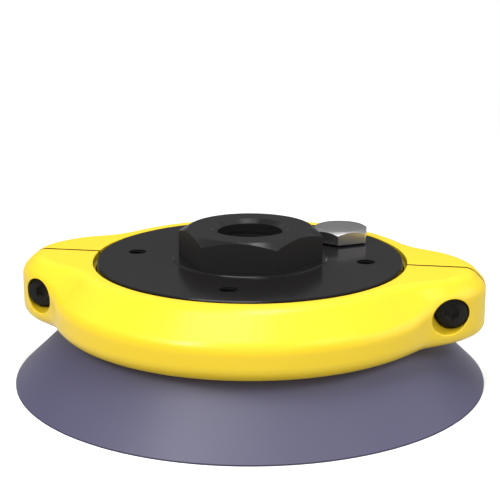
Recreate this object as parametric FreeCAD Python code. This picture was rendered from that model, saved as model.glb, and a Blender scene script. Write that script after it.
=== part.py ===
import FreeCAD, Part

import math
import os

# Flat vacuum cup: a rubber cup with a flared lip, held under a round fitting plate by a clamp ring
# in two halves, which two screws pull together.
# Millimetres, +Z up. The origin is the centre of the circle on which the lip rests.
# +X runs through the right-hand ear of the clamp, and the screw heads face -Y.

# Rubber cup
lip_radius = 55.0            # outer edge of the lip
lip_edge = 0.3               # height of the thin outer edge
lip_land = 0.8               # width of the ring that rests on the work
lip_outer_angle = 43.6       # slope of the lip's outside, from the horizontal
lip_inner_angle = 38.0       # slope of the lip's inside
cup_height = 19.6            # top face of the rim, which the plate presses on
cup_opening_radius = 32.5    # opening in the roof of the cup
roof_thickness = 8.1         # rubber between the plate and the cleats
rim_thickness = 3.1          # at the outside of the rim
neck_height = 0.6            # short straight neck between the lip and the rim
roof_edge_round = 1.0        # rounded lower edge of the roof opening
cleat_count = 16             # radial ribs that stop the cup being sucked flat
cleat_height = 2.5
cleat_width = 2.6
cleat_inset = 1.0            # from the edge of the roof opening
cleat_bite = 0.5             # how far a cleat runs into the rubber behind it

# Fitting plate
plate_radius = 35.5          # the disc that shows inside the clamp
plate_thickness = 8.45       # from the rim to the top face
plate_edge_chamfer = 0.35
flange_width = 5.7           # of the clamped flange, outside the disc
flange_thickness = 3.5       # at the outside of the flange
flank_angle = 15.0           # slope of the clamped faces
collar_radius = 18.0         # low round step under the hexagon
collar_height = 0.25
collar_chamfer = 0.2
hex_width = 29.5             # across flats, for a 30 mm spanner
hex_height = 7.03            # above the top face
hex_face_radius = 14.39      # top face, inside the corner chamfer
hex_chamfer_angle = 30.0
bore_radius = 7.475          # core of a G 3/8 pipe thread
bore_chamfer = 1.5           # width of the countersink at the bore's mouth
countersink_angle = 120.0
tapped_circle_radius = 27.0
tapped_hole_radius = 2.067   # core of an M5 thread
tapped_hole_depth = 4.8
tapped_chamfer = 0.05
tapped_count = 4
drill_tip_angle = 118.0

# Plugged port
port_circle_radius = 27.0
port_angle = 45.0            # from +X towards +Y
port_radius = 4.283          # core of a G 1/8 pipe thread
plug_width = 12.6            # across flats, for a 13 mm spanner
plug_head_height = 3.1
plug_face_radius = 5.9
plug_length = 6.5            # thread below the head's seal
plug_turn = 32.0             # how far the plug's hexagon is turned from +X
plug_end_chamfer = 0.7       # lead of the thread
thread_clearance = 0.04
seal_thickness = 0.4
seal_wall = 1.35
seal_clearance = 0.2

# Mesh filter under the bore
filter_radius = 12.2
filter_thickness = 0.8
filter_hole = 1.5            # side of a square opening
filter_wire = 0.6            # bar between two openings
filter_border = 0.7
filter_clearance = 0.2
ring_thickness = 1.0
ring_width = 1.7             # of the part that covers the edge of the mesh
ring_depth = 1.7             # from the plate's underside up to the ring
ring_bite = 0.6              # how far the ring sits in its groove
ring_gap_angle = 36.0
ring_clearance = 0.05

# Clamp ring
clamp_height = 14.0
clamp_drop = 0.2             # clamp's top below the plate's top face
clamp_plate_gap = 1.05       # all round the plate's disc
clamp_wall = 4.4             # outside the groove, between the ears
clamp_chamfer = 6.65         # sloping top edge, between the ears
ear_wall = 3.53              # outside a counterbore, at the flat tip of an ear
ear_half_width = 11.0        # from the middle of the screws, on X, to the straight flank of an ear
ear_flank_angle = 49.4       # the way a flank faces, from X
ear_tip_blend = 7.4          # rounds the corner between tip and flank
ear_root_blend = 1.2         # rounds the corner between flank and ring
ear_chamfer = 3.45           # sloping top edge, at the tip of an ear
ear_edge_angle = 14.4        # from here the edges widen to those of the ring
ear_half_angle = 33.0        # the plain ring starts here, each side of X
ear_sections = 16            # sections that an ear is lofted through, each side of X
edge_round = 4.0             # both ends of the sloping edge
bottom_round = 3.3           # lower edge, between the ears
ear_bottom_round = 2.3       # lower edge, at the tip of an ear
inner_edge_round = 0.2
split_gap = 0.8
groove_gap = 0.6             # outside the rim and the flange
flank_gap = 0.05             # on the clamped faces
lip_gap = 0.4                # between the clamp's lower edge and the cup

# Clamp screws and nuts
screw_radius = 2.0           # M4
screw_length = 16.0
screw_head_radius = 3.5
screw_head_height = 4.0
screw_socket = 3.0           # across flats
screw_socket_depth = 2.0
screw_socket_turn = 30.0     # a corner of the socket points down
screw_head_chamfer = 0.35
screw_seat = 7.0             # from the split plane to the seat of the head
screw_level = 6.47           # above the clamp's underside
screw_wall = 1.19            # between the groove and a counterbore
screw_hole_clearance = 0.25
head_clearance = 0.44
nut_width = 7.0              # across flats
nut_height = 3.2
nut_seat = 5.5               # from the split plane to the nut
nut_clearance = 0.1

# Heights and radii worked out from the values above
plate_top = cup_height + plate_thickness
hex_top = plate_top + hex_height
clamp_top = plate_top - clamp_drop
clamp_bottom = clamp_top - clamp_height
rim_radius = plate_radius + flange_width
clamp_bore_radius = plate_radius + clamp_plate_gap
groove_radius = rim_radius + groove_gap
clamp_radius = groove_radius + clamp_wall
counterbore_radius = screw_head_radius + head_clearance
screw_x = groove_radius + screw_wall + counterbore_radius
ear_reach = screw_x + counterbore_radius + ear_wall
flank_reach = screw_x * math.cos(math.radians(ear_flank_angle)) + ear_half_width
screw_z = clamp_bottom + screw_level
roof_bottom = cup_height - roof_thickness
lip_rise = math.tan(math.radians(lip_outer_angle))
flank_rise = math.tan(math.radians(flank_angle))
rim_bottom = cup_height - rim_thickness
flange_top = cup_height + flange_thickness
filter_pocket_radius = filter_radius + filter_clearance
filter_pocket_top = cup_height + ring_depth + ring_thickness + filter_thickness
tolerance = 0.001            # for telling one edge from another
up = FreeCAD.Vector(0, 0, 1)
forward = FreeCAD.Vector(0, 1, 0)


def point(radius, height, angle=0.0):
    """A point at this radius and height, turned about Z by an angle in degrees."""
    turn = math.radians(angle)
    return FreeCAD.Vector(radius * math.cos(turn), radius * math.sin(turn), height)


def turned(outline):
    """The solid made by turning a closed outline of (radius, height) pairs about Z."""
    corners = [point(radius, height) for radius, height in outline]
    face = Part.Face(Part.makePolygon(corners + corners[:1]))
    return face.revolve(FreeCAD.Vector(0, 0, 0), up, 360)


def cylinder(radius, height, base, direction=up):
    return Part.makeCylinder(radius, height, base, direction)


def hex_prism(width, height, base, direction=up, turn=0.0):
    """A hexagonal bar, its width across flats. With no turn, a corner lies on the base's own X axis."""
    corner = width / math.sqrt(3)
    corners = [point(corner, 0, turn + 60 * step) for step in range(6)]
    bar = Part.Face(Part.makePolygon(corners + corners[:1])).extrude(up * height)
    bar.Placement = FreeCAD.Placement(base, FreeCAD.Rotation(up, direction))
    return bar


def hex_head(width, height, face_radius, base, turn):
    """A hexagonal head whose top corners are turned off to a round face."""
    bar = hex_prism(width, height, base, up, turn)
    corner = width / math.sqrt(3)
    drop = (corner - face_radius) * math.tan(math.radians(hex_chamfer_angle))
    blank = turned([(0, 0), (corner, 0), (corner, height - drop), (face_radius, height), (0, height)])
    blank.translate(base)
    return bar.common(blank)


def lip_outside(radius):
    """Height of the lip's outer cone at a radius."""
    return lip_edge + (lip_radius - radius) * lip_rise


def rim_underside(radius):
    """Height of the rim's sloping lower face at a radius."""
    return rim_bottom - (rim_radius - radius) * flank_rise


def flange_upside(radius):
    """Height of the flange's sloping upper face at a radius."""
    return flange_top + (rim_radius - radius) * flank_rise


# The neck lies where the lip's cone comes within neck_height of the rim's lower face.
neck_radius = (lip_outside(0) - rim_underside(0) + neck_height) / (lip_rise + flank_rise)


def make_suction_cup():
    foot = lip_radius - lip_land
    root = foot - roof_bottom / math.tan(math.radians(lip_inner_angle))
    cup = turned([
        (lip_radius, 0),
        (lip_radius, lip_edge),
        (neck_radius, lip_outside(neck_radius)),
        (neck_radius, rim_underside(neck_radius)),
        (rim_radius, rim_bottom),
        (rim_radius, cup_height),
        (cup_opening_radius, cup_height),
        (cup_opening_radius, roof_bottom),
        (root, roof_bottom),
        (foot, 0),
    ])
    opening_edge = [
        edge for edge in cup.Edges
        if edge.isClosed()
        and abs(edge.Curve.Radius - cup_opening_radius) < tolerance
        and abs(edge.Curve.Center.z - roof_bottom) < tolerance
    ]
    cup = cup.makeFillet(roof_edge_round, opening_edge)
    low = roof_bottom - cleat_height
    inner = cup_opening_radius + roof_edge_round + cleat_inset
    low_end = foot - low / math.tan(math.radians(lip_inner_angle)) + cleat_bite
    side = [
        FreeCAD.Vector(inner, -cleat_width / 2, low),
        FreeCAD.Vector(low_end, -cleat_width / 2, low),
        FreeCAD.Vector(root + cleat_bite, -cleat_width / 2, roof_bottom),
        FreeCAD.Vector(root, -cleat_width / 2, roof_bottom + cleat_bite),
        FreeCAD.Vector(inner, -cleat_width / 2, roof_bottom + cleat_bite),
    ]
    cleat = Part.Face(Part.makePolygon(side + side[:1])).extrude(forward * cleat_width)
    cleats = []
    for step in range(cleat_count):
        copy = cleat.copy()
        copy.rotate(FreeCAD.Vector(0, 0, 0), up, (step + 0.5) * 360 / cleat_count)
        cleats.append(copy)
    return cup.fuse(cleats).removeSplitter()


def tapped_hole(angle):
    """A blind hole with a drill's cone at its end and a small countersink."""
    tip = tapped_hole_radius / math.tan(math.radians(drill_tip_angle / 2))
    mouth = tapped_hole_radius + tapped_chamfer
    hole = turned([
        (0, -tapped_hole_depth - tip),
        (tapped_hole_radius, -tapped_hole_depth),
        (tapped_hole_radius, -tapped_chamfer),
        (mouth, 0),
        (mouth, tapped_chamfer),
        (0, tapped_chamfer),
    ])
    hole.translate(point(tapped_circle_radius, plate_top, angle))
    return hole


def make_fitting_plate():
    plate = turned([
        (0, cup_height),
        (rim_radius, cup_height),
        (rim_radius, flange_top),
        (plate_radius, flange_upside(plate_radius)),
        (plate_radius, plate_top - plate_edge_chamfer),
        (plate_radius - plate_edge_chamfer, plate_top),
        (collar_radius, plate_top),
        (collar_radius, plate_top + collar_height - collar_chamfer),
        (collar_radius - collar_chamfer, plate_top + collar_height),
        (0, plate_top + collar_height),
    ])
    plate = plate.fuse(hex_head(hex_width, hex_height, hex_face_radius, point(0, plate_top), 0))
    groove_bottom = cup_height + ring_depth - ring_clearance
    groove_top = groove_bottom + ring_thickness + 2 * ring_clearance
    countersink_depth = bore_chamfer / math.tan(math.radians(countersink_angle / 2))
    bore = turned([
        (0, cup_height),
        (filter_pocket_radius, cup_height),
        (filter_pocket_radius, groove_bottom),
        (filter_pocket_radius + ring_bite, groove_bottom),
        (filter_pocket_radius + ring_bite, groove_top),
        (filter_pocket_radius, groove_top),
        (filter_pocket_radius, filter_pocket_top),
        (bore_radius, filter_pocket_top),
        (bore_radius, hex_top - countersink_depth),
        (bore_radius + bore_chamfer, hex_top),
        (0, hex_top),
    ])
    port = cylinder(port_radius, plate_thickness, point(port_circle_radius, cup_height, port_angle))
    holes = [tapped_hole(step * 360 / tapped_count) for step in range(tapped_count)]
    return plate.cut([bore, port] + holes).removeSplitter()


def make_port_plug():
    head_base = point(port_circle_radius, plate_top + seal_thickness, port_angle)
    head = hex_head(plug_width, plug_head_height, plug_face_radius, head_base, plug_turn)
    thread = port_radius - thread_clearance
    shank_end = head_base - up * plug_length
    shank = cylinder(thread, plug_length, shank_end)
    lead = [edge for edge in shank.Edges if edge.BoundBox.ZMax < shank_end.z + plug_end_chamfer]
    return head.fuse(shank.makeChamfer(plug_end_chamfer, lead)).removeSplitter()


def make_plug_seal():
    base = point(port_circle_radius, plate_top, port_angle)
    inside = port_radius + seal_clearance
    outer = cylinder(inside + seal_wall, seal_thickness, base)
    return outer.cut(cylinder(inside, seal_thickness, base))


def make_mesh_filter():
    """A disc with a square grid of openings, as many as fit inside its border."""
    base = filter_pocket_top - filter_thickness
    disc = cylinder(filter_radius, filter_thickness, point(0, base))
    pitch = filter_hole + filter_wire
    reach = filter_radius - filter_border
    half = int(reach / pitch)
    openings = []
    for column in range(-half, half + 1):
        for row in range(-half, half + 1):
            corner = math.hypot(abs(column) * pitch + filter_hole / 2, abs(row) * pitch + filter_hole / 2)
            if corner > reach:
                continue
            place = FreeCAD.Vector(column * pitch - filter_hole / 2, row * pitch - filter_hole / 2, base)
            openings.append(Part.makeBox(filter_hole, filter_hole, filter_thickness, place))
    return disc.cut(openings)


def make_filter_ring():
    """An open ring that springs into the groove under the mesh."""
    outside = filter_pocket_radius + ring_bite - ring_clearance
    inside = filter_pocket_radius - ring_width
    base = cup_height + ring_depth
    start = point(inside, base, ring_gap_angle / 2)
    section = Part.makePolygon([
        start,
        point(outside, base, ring_gap_angle / 2),
        point(outside, base + ring_thickness, ring_gap_angle / 2),
        point(inside, base + ring_thickness, ring_gap_angle / 2),
        start,
    ])
    return Part.Face(section).revolve(FreeCAD.Vector(0, 0, 0), up, 360 - ring_gap_angle)


def smooth_least(first, second, blend):
    """The lesser of two lengths, eased by a parabola where they differ by less than the blend."""
    overlap = max(0.0, 1 - abs(first - second) / blend)
    return min(first, second) - blend * overlap ** 2 / 4


def wall_radius(away):
    """The clamp's wall at an angle from X: the flat tip of an ear, then its straight flank, then the ring."""
    if away >= ear_half_angle:
        return clamp_radius
    tip = ear_reach / math.cos(math.radians(away))
    flank = flank_reach / math.cos(math.radians(ear_flank_angle - away))
    ear = smooth_least(tip, flank, ear_tip_blend)
    return -smooth_least(-ear, -clamp_radius, ear_root_blend)


def edge_growth(away):
    """0 near the tip of an ear and 1 on the plain ring, eased at both ends."""
    share = (away - ear_edge_angle) / (ear_half_angle - ear_edge_angle)
    share = min(max(share, 0.0), 1.0)
    return share * share * (3 - 2 * share)


def clamp_section(angle):
    """The clamp's section in the half plane at this angle: flat top, sloping edge, wall and round bottom."""
    away = abs((angle + 90) % 180 - 90)
    growth = edge_growth(away)
    wall = wall_radius(away)
    slope = ear_chamfer + (clamp_chamfer - ear_chamfer) * growth
    bend = math.radians(45)
    tangent = edge_round * math.tan(bend / 2)
    step = tangent * math.cos(bend)
    mid_long = edge_round * math.sin(bend / 2)
    mid_short = edge_round * (1 - math.cos(bend / 2))
    foot = ear_bottom_round + (bottom_round - ear_bottom_round) * growth
    low = foot * (1 - math.cos(bend))
    inside = plate_radius

    def at(radius, height):
        return point(radius, height, angle)

    flat_end = wall - slope - tangent
    wall_top = clamp_top - slope - tangent
    top_in = at(inside, clamp_top)
    top_out = at(flat_end, clamp_top)
    slope_in = at(wall - slope + step, clamp_top - step)
    slope_out = at(wall - step, clamp_top - slope + step)
    wall_high = at(wall, wall_top)
    wall_low = at(wall, clamp_bottom + foot)
    base_out = at(wall - foot, clamp_bottom)
    base_in = at(inside, clamp_bottom)
    return Part.Wire([
        Part.makeLine(top_in, top_out),
        Part.Arc(top_out, at(flat_end + mid_long, clamp_top - mid_short), slope_in).toShape(),
        Part.makeLine(slope_in, slope_out),
        Part.Arc(slope_out, at(wall - mid_short, wall_top + mid_long), wall_high).toShape(),
        Part.makeLine(wall_high, wall_low),
        Part.Arc(wall_low, at(wall - low, clamp_bottom + low), base_out).toShape(),
        Part.makeLine(base_out, base_in),
        Part.makeLine(base_in, top_in),
    ])


def clamp_inside():
    """What the clamp closes on: the plate's disc, the flange and the rim, and the upper end of the lip."""
    below = clamp_bottom - lip_gap
    lip_at_bottom = lip_radius - (below - lip_edge) / lip_rise + lip_gap
    tip = neck_radius + lip_gap
    corner = inner_edge_round * math.sqrt(0.5)
    cut = [
        (0, below),
        (lip_at_bottom, below),
        (tip, lip_outside(neck_radius)),
        (tip, rim_underside(tip) - flank_gap),
        (groove_radius, rim_underside(groove_radius) - flank_gap),
        (groove_radius, flange_upside(groove_radius) + flank_gap),
        (clamp_bore_radius, flange_upside(clamp_bore_radius) + flank_gap),
    ]
    edge_low = point(clamp_bore_radius, clamp_top - inner_edge_round)
    edge_mid = point(clamp_bore_radius + inner_edge_round - corner, clamp_top - inner_edge_round + corner)
    edge_high = point(clamp_bore_radius + inner_edge_round, clamp_top)
    axis_top = point(0, clamp_top)
    corners = [point(radius, height) for radius, height in cut]
    outline = Part.makePolygon(corners + [edge_low]).Edges
    outline.append(Part.Arc(edge_low, edge_mid, edge_high).toShape())
    outline += Part.makePolygon([edge_high, axis_top, corners[0]]).Edges
    return Part.Face(Part.Wire(outline)).revolve(FreeCAD.Vector(0, 0, 0), up, 360)


def make_clamp_blank():
    """The outside of the front half: a turned half ring, with half an ear lofted on to each end."""
    step = ear_half_angle / ear_sections
    right = [-step * index for index in range(ear_sections + 2)]
    left = [-180 - angle for angle in right]
    ears = [Part.makeLoft([clamp_section(angle) for angle in side], True, False) for side in (right, left)]
    ring = Part.Face(clamp_section(right[-1])).revolve(FreeCAD.Vector(0, 0, 0), up, left[-1] - right[-1])
    return ring.fuse(ears).removeSplitter()


def make_clamp_halves():
    front = make_clamp_blank()
    rear = front.copy()
    rear.rotate(FreeCAD.Vector(0, 0, 0), up, 180)
    inside = clamp_inside()
    slit = Part.makeBox(
        4 * ear_reach,
        split_gap,
        2 * clamp_height,
        FreeCAD.Vector(-2 * ear_reach, -split_gap / 2, clamp_bottom - clamp_height / 2),
    )
    front_cuts = [inside, slit]
    rear_cuts = [inside, slit]
    for side in (-1, 1):
        axis = FreeCAD.Vector(side * screw_x, 0, screw_z)
        hole = cylinder(screw_radius + screw_hole_clearance, 2 * ear_reach, axis - forward * ear_reach, forward)
        head_seat = axis - forward * screw_seat
        counterbore = cylinder(counterbore_radius, ear_reach, head_seat, -forward)
        pocket = hex_prism(nut_width + 2 * nut_clearance, ear_reach, axis + forward * nut_seat, forward)
        front_cuts += [hole, counterbore]
        rear_cuts += [hole, pocket]
    return front.cut(front_cuts), rear.cut(rear_cuts)


def make_clamp_screw(side):
    """Socket head screw: the head seats on the front half, and its thread ends in the nut."""
    seat = FreeCAD.Vector(side * screw_x, -screw_seat, screw_z)
    head = cylinder(screw_head_radius, screw_head_height, seat, -forward)
    face = seat - forward * screw_head_height
    rim = [edge for edge in head.Edges if edge.BoundBox.YMax < face.y + screw_head_chamfer]
    head = head.makeChamfer(screw_head_chamfer, rim)
    socket = hex_prism(screw_socket, screw_socket_depth, face, forward, screw_socket_turn)
    shank = cylinder(screw_radius, screw_length, seat, forward)
    return head.cut(socket).fuse(shank).removeSplitter()


def make_clamp_nut(side):
    seat = FreeCAD.Vector(side * screw_x, nut_seat, screw_z)
    nut = hex_prism(nut_width, nut_height, seat, forward)
    return nut.cut(cylinder(screw_radius + thread_clearance, nut_height, seat, forward))


def main():
    front_half, rear_half = make_clamp_halves()
    pieces = {
        "suction_cup": make_suction_cup(),
        "fitting_plate": make_fitting_plate(),
        "port_plug": make_port_plug(),
        "plug_seal": make_plug_seal(),
        "mesh_filter": make_mesh_filter(),
        "filter_ring": make_filter_ring(),
        "clamp_front_half": front_half,
        "clamp_rear_half": rear_half,
    }
    for name, side in (("left", -1), ("right", 1)):
        pieces["clamp_screw_" + name] = make_clamp_screw(side)
        pieces["clamp_nut_" + name] = make_clamp_nut(side)
    os.makedirs("parts", exist_ok=True)
    for name, shape in pieces.items():
        print(name, "valid", shape.isValid(), "solids", len(shape.Solids), "volume", round(shape.Volume, 1))
        shape.exportStep(os.path.join("parts", name + ".step"))


main()
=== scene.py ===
import math

import bmesh
import bpy
import numpy as np
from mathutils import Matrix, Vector
from mathutils.geometry import tessellate_polygon


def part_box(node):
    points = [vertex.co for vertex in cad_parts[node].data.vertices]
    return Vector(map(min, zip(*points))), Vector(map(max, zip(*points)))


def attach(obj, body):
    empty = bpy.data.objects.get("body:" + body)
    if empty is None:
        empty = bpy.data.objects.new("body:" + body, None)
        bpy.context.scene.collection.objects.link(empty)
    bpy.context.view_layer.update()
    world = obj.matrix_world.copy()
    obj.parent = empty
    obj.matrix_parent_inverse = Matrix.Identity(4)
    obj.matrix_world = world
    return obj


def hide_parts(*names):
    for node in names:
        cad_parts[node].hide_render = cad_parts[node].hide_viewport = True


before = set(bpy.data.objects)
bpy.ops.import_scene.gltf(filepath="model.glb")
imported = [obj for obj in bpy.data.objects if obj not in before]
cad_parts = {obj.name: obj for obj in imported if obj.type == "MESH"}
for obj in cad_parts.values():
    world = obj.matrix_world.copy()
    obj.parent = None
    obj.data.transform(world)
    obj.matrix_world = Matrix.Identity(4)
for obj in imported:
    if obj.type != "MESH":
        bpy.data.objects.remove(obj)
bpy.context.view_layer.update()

mm = 0.001    # shapes are worked out in millimetres and stored in metres
coneRise = math.tan(math.radians(30.0))    # slope of countersinks and of turned-off hexagon corners
meshing = {
    "arcSteps": 6,          # on a rounded corner
    "ringSteps": 4,         # on the corners of small rings
    "seam": 0.01,           # width of the strip that closes a section
    "merge": 0.002,         # points nearer than this become one
    "sliver": 0.0005,       # narrower faces are taken out
    "sharp": 33.0,          # edges that bend by more degrees stay crisp
    "sharpFacets": 25.0,    # the same on the plate and the plug
}
print("frame loaded:", len(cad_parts), "pieces")


# Tools for surfaces

def nodeBox(node):
    # lowest and highest corner of a CAD piece, in millimetres
    low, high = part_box(node)
    return np.array(low) / mm, np.array(high) / mm


def fullTurn(count):
    # Equal steps once round.
    return 2 * math.pi * np.arange(count) / count


def roundedPath(corners, steps=meshing["arcSteps"]):
    # A line through corners (a, b, radius). A corner with a radius becomes the arc that touches both its
    # lines: its centre lies on the bisector, and the points step round it by equal angles.
    spots = np.array([corner[:2] for corner in corners], float)
    path = [spots[:1]]
    sweep = np.linspace(0, 1, steps + 1)[:, None]
    for before, here, after, corner in zip(spots, spots[1:], spots[2:], corners[1:]):
        if corner[2] == 0:
            path.append(here[None])
            continue
        back = (before - here) / np.linalg.norm(before - here)
        onward = (after - here) / np.linalg.norm(after - here)
        half = math.acos(np.clip(back @ onward, -1, 1)) / 2
        middle = (back + onward) / np.linalg.norm(back + onward)
        centre = here + middle * corner[2] / math.sin(half)
        first = here + back * corner[2] / math.tan(half) - centre
        last = here + onward * corner[2] / math.tan(half) - centre
        turn = math.pi - 2 * half
        arc = first * np.sin((1 - sweep) * turn) + last * np.sin(sweep * turn)
        path.append(centre + arc / math.sin(turn))
    return np.vstack(path + [spots[-1:]])


def ringSection(inner, outer, low, high, rounding):
    # A rectangle with rounded corners as (radius, height), from the middle of its underside once round.
    middle = (inner + outer) / 2
    return roundedPath([
        (middle, low, 0),
        (outer, low, rounding),
        (outer, high, rounding),
        (inner, high, rounding),
        (inner, low, rounding),
        (middle - meshing["seam"], low, 0),
    ], meshing["ringSteps"])


def aroundZ(radius, height, angles):
    # Points at a radius and a height, turned round Z by the angles.
    x, y = radius * np.cos(angles), radius * np.sin(angles)
    return np.stack([x, y, np.broadcast_to(height, x.shape)], -1)


def turned(profile, angles):
    # Surface of revolution: each (radius, height) of the profile is carried round Z through the angles.
    return aroundZ(profile[:, 0], profile[:, 1], angles[:, None])


def ringStack(angles, spots):
    # Rings round Z as one grid, one for each (radius, height), which may change with the angle.
    return np.stack([aroundZ(radius, height, angles) for radius, height in spots])


def screwSurface(angles, start, end, core, thread):
    # Thread between two heights: the radius goes from the core by thread depth and back as a cosine of
    # height / pitch minus the turn, and it fades to the core as the square of the way into the run-out at
    # the start and at the end. A negative depth makes a bolt.
    heights = np.linspace(start, end, thread["steps"])
    turns = angles[None, :] / (2 * math.pi)
    wave = 0.5 - 0.5 * np.cos(2 * math.pi * (heights[:, None] / thread["pitch"] - turns))
    first, last = thread["runOut"]
    fromEnds = np.minimum(np.abs(heights - start) / first, np.abs(heights - end) / last)
    fade = np.clip(fromEnds, 0, 1)[:, None] ** 2
    return aroundZ(core + thread["depth"] * wave * fade, heights[:, None], angles)


def cornerTouch(width, rounding):
    # The angle from a hexagon's corner to where its rounding meets the flat side.
    centre = (width / 2 - rounding) / math.cos(math.pi / 6)
    return math.atan2(rounding * 0.5, centre + rounding * math.cos(math.pi / 6))


def hexRadius(angles, width, rounding, turn=0.0):
    # Distance from the axis to a hexagon's outline: half the width over the cosine of the angle from the
    # middle of a side, and near a corner the arc that rounds it.
    fromCorner = np.abs((angles - turn + math.pi / 6) % (math.pi / 3) - math.pi / 6)
    flat = width / 2 / np.cos(math.pi / 6 - fromCorner)
    centre = (width / 2 - rounding) / math.cos(math.pi / 6)
    aside = centre * np.sin(fromCorner)
    arc = centre * np.cos(fromCorner) + np.sqrt(np.maximum(rounding ** 2 - aside ** 2, 0))
    return np.where(fromCorner < cornerTouch(width, rounding), arc, flat)


def hexRing(count, width, rounding, turn=0.0, cornerSteps=3):
    # Angles round a hexagon from the middle of a side, and its radius there: cornerSteps on each half of a
    # rounded corner, and the rest spread along the flat sides.
    touch = cornerTouch(width, rounding)
    half = count // 12
    step = np.arange(-half, half)      # from a corner
    away = np.abs(step)
    onFlat = touch + (math.pi / 6 - touch) * ((away - cornerSteps) / (half - cornerSteps))
    offset = np.sign(step) * np.where(away <= cornerSteps, touch * away / cornerSteps, onFlat)
    angles = (turn + np.arange(6)[:, None] * math.pi / 3 + offset).ravel()
    return angles, hexRadius(angles, width, rounding, turn)


def moved(points, centre):
    # Points shifted sideways to a centre.
    return points + np.array([centre[0], centre[1], 0.0])


def patch(points, closeRows=False, closeColumns=False, windows=()):
    # A grid of points and its quads. A window (row, row, column, column) leaves that block of quads out.
    rows, columns = points.shape[:2]
    row, column = np.meshgrid(
        np.arange(rows if closeRows else rows - 1),
        np.arange(columns if closeColumns else columns - 1),
        indexing="ij",
    )
    keep = np.ones(row.shape, bool)
    for firstRow, lastRow, firstColumn, lastColumn in windows:
        keep[firstRow:lastRow, firstColumn:lastColumn] = False
    row, column = row[keep], column[keep]
    nextRow, nextColumn = (row + 1) % rows, (column + 1) % columns
    corners = ((row, column), (nextRow, column), (nextRow, nextColumn), (row, nextColumn))
    return points.reshape(-1, 3), np.stack([a * columns + b for a, b in corners], -1)


def windowEdge(points, window):
    # The points round a window of a grid, in order, starting at its first corner.
    firstRow, lastRow, firstColumn, lastColumn = window
    block = points[firstRow:lastRow + 1, firstColumn:lastColumn + 1]
    return np.vstack([block[:-1, 0], block[-1, :-1], block[:0:-1, -1], block[0, :0:-1]])


def flatCap(outer, inner):
    # A flat face between an outer loop and a hole in it, as triangles.
    loops = [[Vector(point) for point in loop] for loop in (outer, inner)]
    return np.vstack([outer, inner]), np.array(tessellate_polygon(loops))


def placed(name, data):
    # A new object in the scene.
    thing = bpy.data.objects.new(name, data)
    bpy.context.scene.collection.objects.link(thing)
    return thing


def makePiece(name, node, looks, sharpAngle=meshing["sharp"]):
    # Joins patches to one mesh: points that meet are merged, faces turn outwards, and only sharp edges
    # stay crisp. looks: pairs of a material and the patches that carry it.
    mesh = bpy.data.meshes.new(name)
    patches = [one for material, group in looks for one in group]
    starts = np.cumsum([0] + [len(points) for points, faces in patches])
    vertices = np.vstack([points for points, faces in patches]) * mm
    faces = [face for (points, grid), start in zip(patches, starts) for face in (grid + start).tolist()]
    mesh.from_pydata(vertices, [], faces)
    counts = [sum(len(grid) for points, grid in group) for material, group in looks]
    mesh.polygons.foreach_set("material_index", np.repeat(np.arange(len(looks)), counts))
    work = bmesh.new()
    work.from_mesh(mesh)
    bmesh.ops.remove_doubles(work, verts=work.verts, dist=meshing["merge"] * mm)
    bmesh.ops.dissolve_degenerate(work, edges=work.edges, dist=meshing["sliver"] * mm)
    bmesh.ops.recalc_face_normals(work, faces=work.faces)
    openEdges = sum(not edge.is_manifold for edge in work.edges)
    work.to_mesh(mesh)
    work.free()
    mesh.shade_smooth()
    mesh.set_sharp_from_angle(angle=math.radians(sharpAngle))
    for material, group in looks:
        mesh.materials.append(material)
    piece = placed(name, mesh)
    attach(piece, "root")
    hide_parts(node)
    print("made", name, "faces", len(mesh.polygons), "open edges", openEdges)


# Finishes

def feed(tree, node, inputs):
    # Fills a node's sockets: an output of another node is linked, and anything else is set as a constant.
    for socket, value in inputs.items():
        if isinstance(value, bpy.types.NodeSocket):
            tree.links.new(value, node.inputs[socket])
        else:
            node.inputs[socket].default_value = value


def addNode(tree, kind, inputs=None):
    # A new shader node with its sockets filled.
    node = tree.nodes.new("ShaderNode" + kind)
    feed(tree, node, inputs or {})
    return node


def finish(name, grain, look):
    # Principled surface whose colour and roughness drift a little with a broad noise, over a fine grain.
    material = bpy.data.materials.new(name)
    material.use_nodes = True
    tree = material.node_tree
    place = addNode(tree, "TexCoord").outputs["Object"]
    drift = addNode(tree, "TexNoise", {"Vector": place, "Scale": grain["driftScale"], "Detail": 3.0})
    tone = addNode(tree, "ValToRGB", {"Fac": drift.outputs["Fac"]})
    for stop, spot, colour in zip(tone.color_ramp.elements, (0.3, 0.7), look["tones"]):
        stop.position = spot
        stop.color = (*colour, 1.0)
    least, most = look["roughness"]
    gloss = addNode(tree, "MapRange", {"Value": drift.outputs["Fac"], "To Min": least, "To Max": most})
    bumps = addNode(tree, "TexNoise", {"Vector": place, "Scale": grain["scale"], "Detail": 2.0})
    relief = addNode(tree, "Bump", {
        "Height": bumps.outputs["Fac"],
        "Strength": grain["strength"],
        "Distance": grain["height"],
    })
    feed(tree, tree.nodes["Principled BSDF"], {
        "Base Color": tone.outputs["Color"],
        "Roughness": gloss.outputs["Result"],
        "Metallic": look.get("metallic", 0.0),
        "Specular IOR Level": look.get("specular", 0.5),
        "Normal": relief.outputs["Normal"],
    })
    return material


rubberGrain = {"driftScale": 45.0, "scale": 4500.0, "strength": 0.12, "height": 0.00002}
moulded = finish("greyBlueRubber", rubberGrain, {
    "tones": ((0.075, 0.071, 0.131), (0.080, 0.076, 0.140)),
    "roughness": (0.41, 0.49),
    "specular": 0.85,
})
# lip's foot and edge: a darker, matt tone, painted contact shade where the lip stands on the floor
lipFootPaintedShade = finish("lipFootRubberPaintedShade", rubberGrain, {
    "tones": ((0.066, 0.064, 0.102), (0.071, 0.069, 0.108)),
    "roughness": (0.6, 0.7),
    "specular": 0.0,
})

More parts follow.
